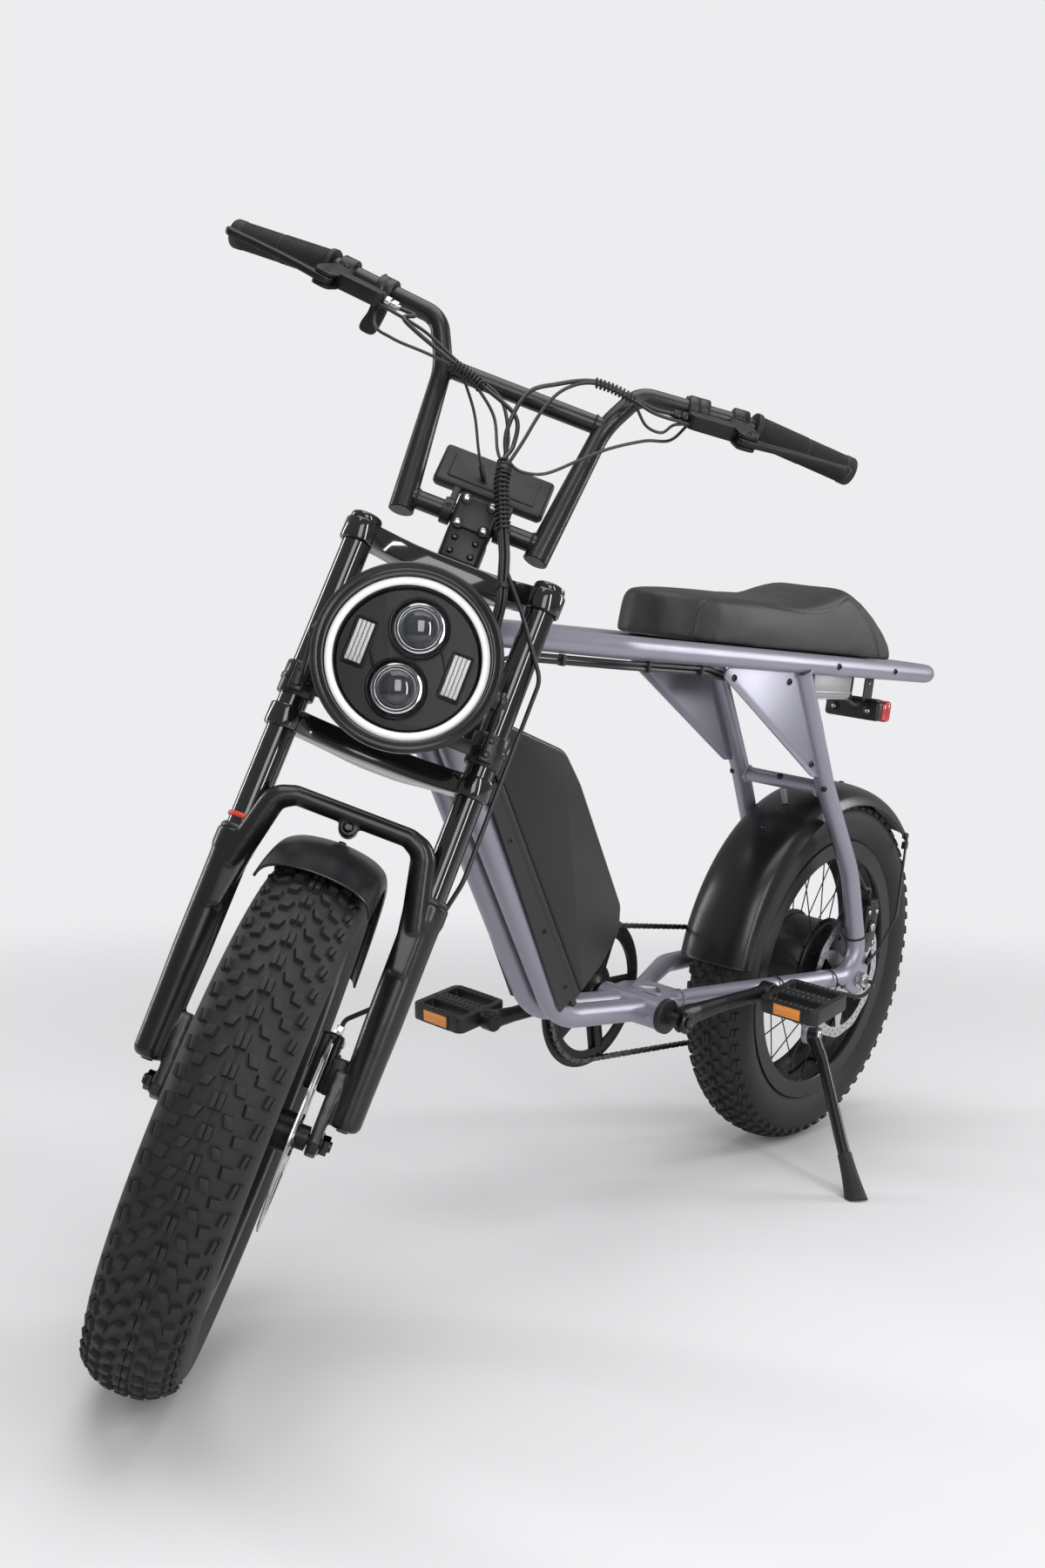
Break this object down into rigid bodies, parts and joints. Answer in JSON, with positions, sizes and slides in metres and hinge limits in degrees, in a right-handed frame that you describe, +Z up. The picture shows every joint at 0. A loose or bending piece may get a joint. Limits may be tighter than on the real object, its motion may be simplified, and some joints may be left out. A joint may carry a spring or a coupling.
{
  "type": "electric bicycle",
  "caption": "Moped-style fat-tyre electric bicycle on its side stand, with a twin-crown fork, long seat on twin rails, frame battery, round headlight and disc brakes.",
  "frame": {"origin": "centre of the bounding box in plan, on the floor that both tyres and the stand's foot touch", "axes": "+X forward from the rear wheel to the front wheel, +Y to the rider's left, +Z up"},
  "size_m": [1.7098, 0.6108, 1.2476],
  "materials": {
    "head_tube": "matte lavender grey metallic paint",
    "seat_rail": "matte lavender grey metallic paint",
    "down_tube_left": "matte lavender grey metallic paint",
    "down_tube_right": "matte lavender grey metallic paint",
    "bottom_bracket": "matte lavender grey metallic paint",
    "rear_stay_left": "matte lavender grey metallic paint",
    "rear_stay_right": "matte lavender grey metallic paint",
    "gusset_left": "matte lavender grey metallic paint",
    "gusset_right": "matte lavender grey metallic paint",
    "controller_case": "cast and bead blasted",
    "tail_light": "black moulding",
    "rear_fender": "satin black",
    "rear_caliper": "black anodised",
    "battery_rail": "satin black case",
    "seat": "dark stitched vinyl",
    "rear_cables": "black hose",
    "chain": "dark oiled steel",
    "rear_derailleur": "black anodised",
    "rear_axle": "plated steel",
    "upper_crown": "gloss black",
    "lower_crown": "gloss black",
    "stanchion_left": "gloss black",
    "stanchion_right": "gloss black",
    "stem": "black anodised",
    "handlebar": "satin black",
    "grip_left": "ribbed black",
    "grip_right": "ribbed black",
    "lever_perch_left": "black anodised",
    "lever_perch_right": "black anodised",
    "lamp_bracket": "black anodised",
    "front_cables": "black hose",
    "switch_pod": "black moulding",
    "fork_lowers": "satin black",
    "front_fender": "satin black",
    "front_caliper": "black anodised",
    "front_axle": "plated steel",
    "front_tyre": "black tread rubber",
    "front_rim": "black rim with black spokes",
    "front_hub": "black anodised",
    "front_rotor": "ground steel",
    "rear_tyre": "black tread rubber",
    "rear_rim": "black rim with black spokes",
    "motor_hub": "black anodised",
    "rear_rotor": "ground steel",
    "freewheel": "dark oiled steel",
    "crank_right": "black anodised",
    "crank_left": "black anodised",
    "pedal_left": "black moulding",
    "pedal_right": "black moulding",
    "brake_lever_left": "black anodised",
    "brake_lever_right": "black anodised",
    "thumb_throttle": "black moulding",
    "switch_button": "red button",
    "display": "black moulding",
    "headlight_shell": "black moulding",
    "headlight_reflector": "black moulding",
    "headlight_lens": "clear lens",
    "kickstand_leg": "satin black",
    "battery_case": "satin black case",
    "key_lock": "polished"
  },
  "bodies": {
    "frame": {"head_tube": "head_tube", "seat_rail": "seat_rail", "down_tube_left": "down_tube_left", "down_tube_right": "down_tube_right", "bottom_bracket": "bottom_bracket", "rear_stay_left": "rear_stay_left", "rear_stay_right": "rear_stay_right", "gusset_left": "gusset_left", "gusset_right": "gusset_right", "controller_case": "controller_case", "tail_light": "tail_light", "rear_fender": "rear_fender", "rear_caliper": "rear_caliper", "battery_rail": "battery_rail", "seat": "seat", "rear_cables": "rear_cables", "chain": "chain", "rear_derailleur": "rear_derailleur", "rear_axle": "rear_axle"},
    "fork_upper": {"upper_crown": "upper_crown", "lower_crown": "lower_crown", "stanchion_left": "stanchion_left", "stanchion_right": "stanchion_right", "stem": "stem", "handlebar": "handlebar", "grip_left": "grip_left", "grip_right": "grip_right", "lever_perch_left": "lever_perch_left", "lever_perch_right": "lever_perch_right", "lamp_bracket": "lamp_bracket", "front_cables": "front_cables", "switch_pod": "switch_pod"},
    "fork_lower": {"fork_lowers": "fork_lowers", "front_fender": "front_fender", "front_caliper": "front_caliper", "front_axle": "front_axle"},
    "front_wheel": {"front_tyre": "front_tyre", "front_rim": "front_rim", "front_hub": "front_hub", "front_rotor": "front_rotor"},
    "rear_wheel": {"rear_tyre": "rear_tyre", "rear_rim": "rear_rim", "motor_hub": "motor_hub", "rear_rotor": "rear_rotor"},
    "freewheel": {"freewheel": "freewheel"},
    "cranks": {"crank_right": "crank_right", "crank_left": "crank_left"},
    "pedal_left": {"pedal_left": "pedal_left"},
    "pedal_right": {"pedal_right": "pedal_right"},
    "brake_lever_left": {"brake_lever_left": "brake_lever_left"},
    "brake_lever_right": {"brake_lever_right": "brake_lever_right"},
    "throttle": {"thumb_throttle": "thumb_throttle"},
    "button": {"switch_button": "switch_button"},
    "display": {"display": "display"},
    "headlight": {"headlight_shell": "headlight_shell", "headlight_reflector": "headlight_reflector", "headlight_lens": "headlight_lens"},
    "kickstand": {"kickstand_leg": "kickstand_leg"},
    "battery": {"battery_case": "battery_case"},
    "key": {"key_lock": "key_lock"}
  },
  "joints": [
    {"name": "steering_turn", "type": "hinge", "parent": "frame", "child": "fork_upper", "pos_m": [0.58797, -0.08813, 0.2621], "axis": [-0.3765, 0.1214, 0.9184], "range_deg": [-84, 4]},
    {"name": "suspension_travel", "type": "slide", "parent": "fork_upper", "child": "fork_lower", "axis": [-0.3765, 0.1214, 0.9184], "range_m": [0, 0.05], "stiffness_N_per_m": 6000, "springref_m": -0.035},
    {"name": "front_wheel_spin", "type": "hinge", "parent": "fork_lower", "child": "front_wheel", "pos_m": [0.61538, -0.06149, 0.26982], "axis": [-0.6033, 0.7202, -0.3425], "continuous": true},
    {"name": "rear_wheel_spin", "type": "hinge", "parent": "frame", "child": "rear_wheel", "pos_m": [-0.57289, -0.08619, 0.28153], "axis": [-0.0005, 0.9914, -0.1312], "continuous": true},
    {"name": "crank_turn", "type": "hinge", "parent": "frame", "child": "cranks", "pos_m": [-0.10491, -0.08651, 0.27714], "axis": [-0.0005, 0.9914, -0.1312], "continuous": true},
    {"name": "freewheel_turn", "type": "hinge", "parent": "frame", "child": "freewheel", "pos_m": [-0.57289, -0.08619, 0.28153], "axis": [-0.0005, 0.9914, -0.1312], "continuous": true},
    {"name": "pedal_left_spin", "type": "hinge", "parent": "cranks", "child": "pedal_left", "pos_m": [-0.2728, -0.0831, 0.30361], "axis": [-0.0005, 0.9914, -0.1312], "continuous": true},
    {"name": "pedal_right_spin", "type": "hinge", "parent": "cranks", "child": "pedal_right", "pos_m": [0.06298, -0.08993, 0.25068], "axis": [-0.0005, 0.9914, -0.1312], "continuous": true},
    {"name": "brake_lever_left_squeeze", "type": "hinge", "parent": "fork_upper", "child": "brake_lever_left", "pos_m": [0.13042, 0.22029, 0.98341], "axis": [0.1654, 0.4821, 0.8604], "range_deg": [0, 15], "stiffness_Nm_per_rad": 1, "springref_deg": -17.19},
    {"name": "brake_lever_right_squeeze", "type": "hinge", "parent": "fork_upper", "child": "brake_lever_right", "pos_m": [0.43341, -0.14143, 1.15543], "axis": [-0.1084, -0.5501, -0.828], "range_deg": [0, 15], "stiffness_Nm_per_rad": 1, "springref_deg": -17.19},
    {"name": "throttle_push", "type": "hinge", "parent": "fork_upper", "child": "throttle", "pos_m": [0.3522, -0.12439, 1.15474], "axis": [-0.4582, 0.7668, -0.4495], "range_deg": [0, 35], "stiffness_Nm_per_rad": 0.3, "springref_deg": -17.19},
    {"name": "button_press", "type": "slide", "parent": "fork_upper", "child": "button", "axis": [0.6551, 0.5599, -0.5072], "range_m": [0, 0.002], "stiffness_N_per_m": 400, "springref_m": -0.002},
    {"name": "display_tilt", "type": "hinge", "parent": "fork_upper", "child": "display", "pos_m": [0.33398, -0.00263, 0.88926], "axis": [-0.6033, 0.7202, -0.3425], "range_deg": [-12, 15]},
    {"name": "headlight_tilt", "type": "hinge", "parent": "fork_upper", "child": "headlight", "pos_m": [0.48673, 0.04638, 0.72328], "axis": [-0.6033, 0.7202, -0.3425], "range_deg": [-10, 10]},
    {"name": "kickstand_fold", "type": "hinge", "parent": "frame", "child": "kickstand", "pos_m": [-0.4132, 0.0249, 0.20565], "axis": [-0.1489, 0.9884, 0.0282], "range_deg": [0, 118]},
    {"name": "battery_slide", "type": "slide", "parent": "frame", "child": "battery", "axis": [0.5882, 0.1064, 0.8017], "range_m": [0, 0.03]},
    {"name": "key_turn", "type": "hinge", "parent": "battery", "child": "key", "pos_m": [0.29018, 0.00059, 0.63789], "axis": [-0.0005, 0.9914, -0.1312], "range_deg": [0, 90]}
  ],
  "couplings": [
    {"joint": "freewheel_turn", "follows": "crank_turn", "ratio": 2.4}
  ]
}
